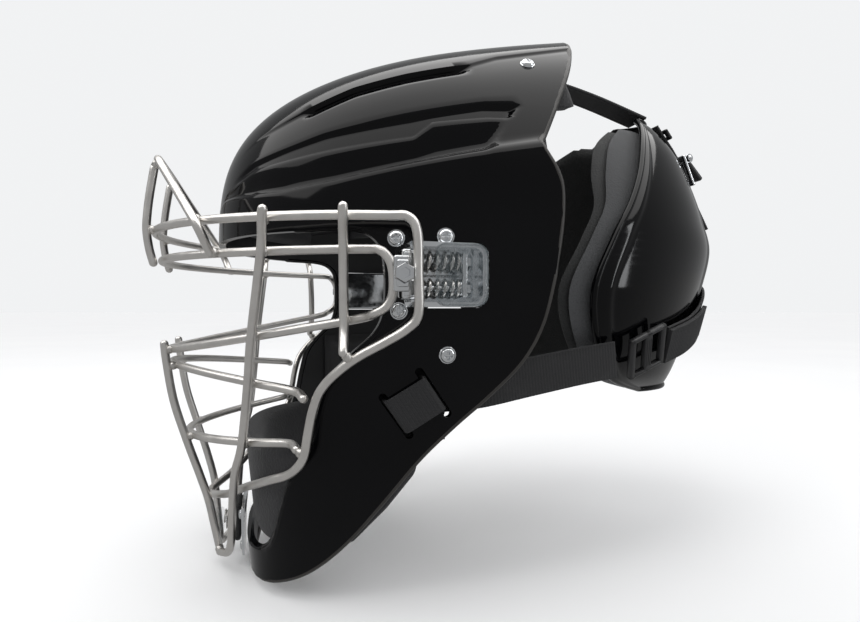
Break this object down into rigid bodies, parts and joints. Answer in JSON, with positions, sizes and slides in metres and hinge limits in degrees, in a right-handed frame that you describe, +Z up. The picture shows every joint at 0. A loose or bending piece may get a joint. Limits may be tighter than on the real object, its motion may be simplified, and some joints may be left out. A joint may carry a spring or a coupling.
{
  "type": "catchers mask",
  "caption": "Hockey-style catcher's mask: black hard shell with a spring-hung wire face cage, foam pads, adjustable straps and a padded back plate.",
  "frame": {"origin": "centre of the wearer's head at eye level", "axes": "-Y is where the wearer looks, +X is the wearer's left, +Z is up"},
  "size_m": [0.2258, 0.3562, 0.298],
  "materials": {
    "gloss_black_shell": "high gloss black",
    "satin_wire": "satin warm grey metal",
    "bright_hardware": "bright plated",
    "spring_steel": "bright drawn wire",
    "clear_cover": "clear moulded polycarbonate",
    "black_plastic": "satin moulded",
    "black_rubber": "matte",
    "black_foam": "knit covered foam",
    "grey_foam": "two-tone grey moulded foam",
    "black_webbing": "woven"
  },
  "bodies": {
    "shell": {"brow_pad": "black_foam", "chin_bracket": "bright_hardware", "chin_bumper": "black_rubber", "chin_pad": "black_foam", "chin_spring": "spring_steel", "crown_pad": "black_foam", "left_jaw_pad": "black_foam", "left_lower_spring": "spring_steel", "left_rear_pad": "black_foam", "left_side_strap": "black_webbing", "left_spring_cover": "clear_cover", "left_spring_guide": "bright_hardware", "left_spring_housing": "bright_hardware", "left_strap_loop": "black_webbing", "left_temple_pad": "black_foam", "left_upper_spring": "spring_steel", "outer_shell": "gloss_black_shell", "right_jaw_pad": "black_foam", "right_lower_spring": "spring_steel", "right_rear_pad": "black_foam", "right_side_strap": "black_webbing", "right_spring_cover": "clear_cover", "right_spring_guide": "bright_hardware", "right_spring_housing": "bright_hardware", "right_strap_loop": "black_webbing", "right_temple_pad": "black_foam", "right_upper_spring": "spring_steel", "top_strap": "black_webbing"},
    "cage": {"cage_cheek_bar": "satin_wire", "cage_eye_loop": "satin_wire", "cage_jaw_bar": "satin_wire", "cage_outer_frame": "satin_wire", "cage_peak_loop": "satin_wire", "chin_plunger": "clear_cover", "left_cage_chin_upright": "satin_wire", "left_cage_clamp": "bright_hardware", "left_cage_long_upright": "satin_wire", "left_cage_nose_upright": "satin_wire", "left_cage_short_upright": "satin_wire", "left_carriage": "bright_hardware", "left_clamp_nut": "bright_hardware", "right_cage_chin_upright": "satin_wire", "right_cage_clamp": "bright_hardware", "right_cage_long_upright": "satin_wire", "right_cage_nose_upright": "satin_wire", "right_cage_short_upright": "satin_wire", "right_carriage": "bright_hardware", "right_clamp_nut": "bright_hardware"},
    "back_plate": {"back_pad": "grey_foam", "back_plate": "gloss_black_shell", "buckle_frame": "bright_hardware", "buckle_pin": "bright_hardware", "left_ladder_lock": "black_plastic", "left_strap_tab": "black_webbing", "rear_band": "black_webbing", "right_ladder_lock": "black_plastic", "right_strap_tab": "black_webbing", "strap_keeper": "black_plastic", "top_strap_tail": "black_webbing"},
    "buckle_lever": {"buckle_lever": "black_plastic"}
  },
  "joints": [
    {"name": "cage_slide", "type": "slide", "parent": "shell", "child": "cage", "axis": [0, 1, 0], "range_m": [0, 0.003], "stiffness_N_per_m": 20000, "springref_m": -0.001, "deforming": ["chin_spring", "left_lower_spring", "left_upper_spring", "right_lower_spring", "right_upper_spring"]},
    {"name": "back_plate_pull", "type": "slide", "parent": "shell", "child": "back_plate", "axis": [0, 1, 0], "range_m": [0, 0.02], "stiffness_N_per_m": 400, "deforming": ["left_side_strap", "right_side_strap", "top_strap"]},
    {"name": "buckle_lever_turn", "type": "hinge", "parent": "back_plate", "child": "buckle_lever", "pos_m": [0, 0.20728, 0.1055], "axis": [1, 0, 0], "range_deg": [-14, 70]}
  ]
}
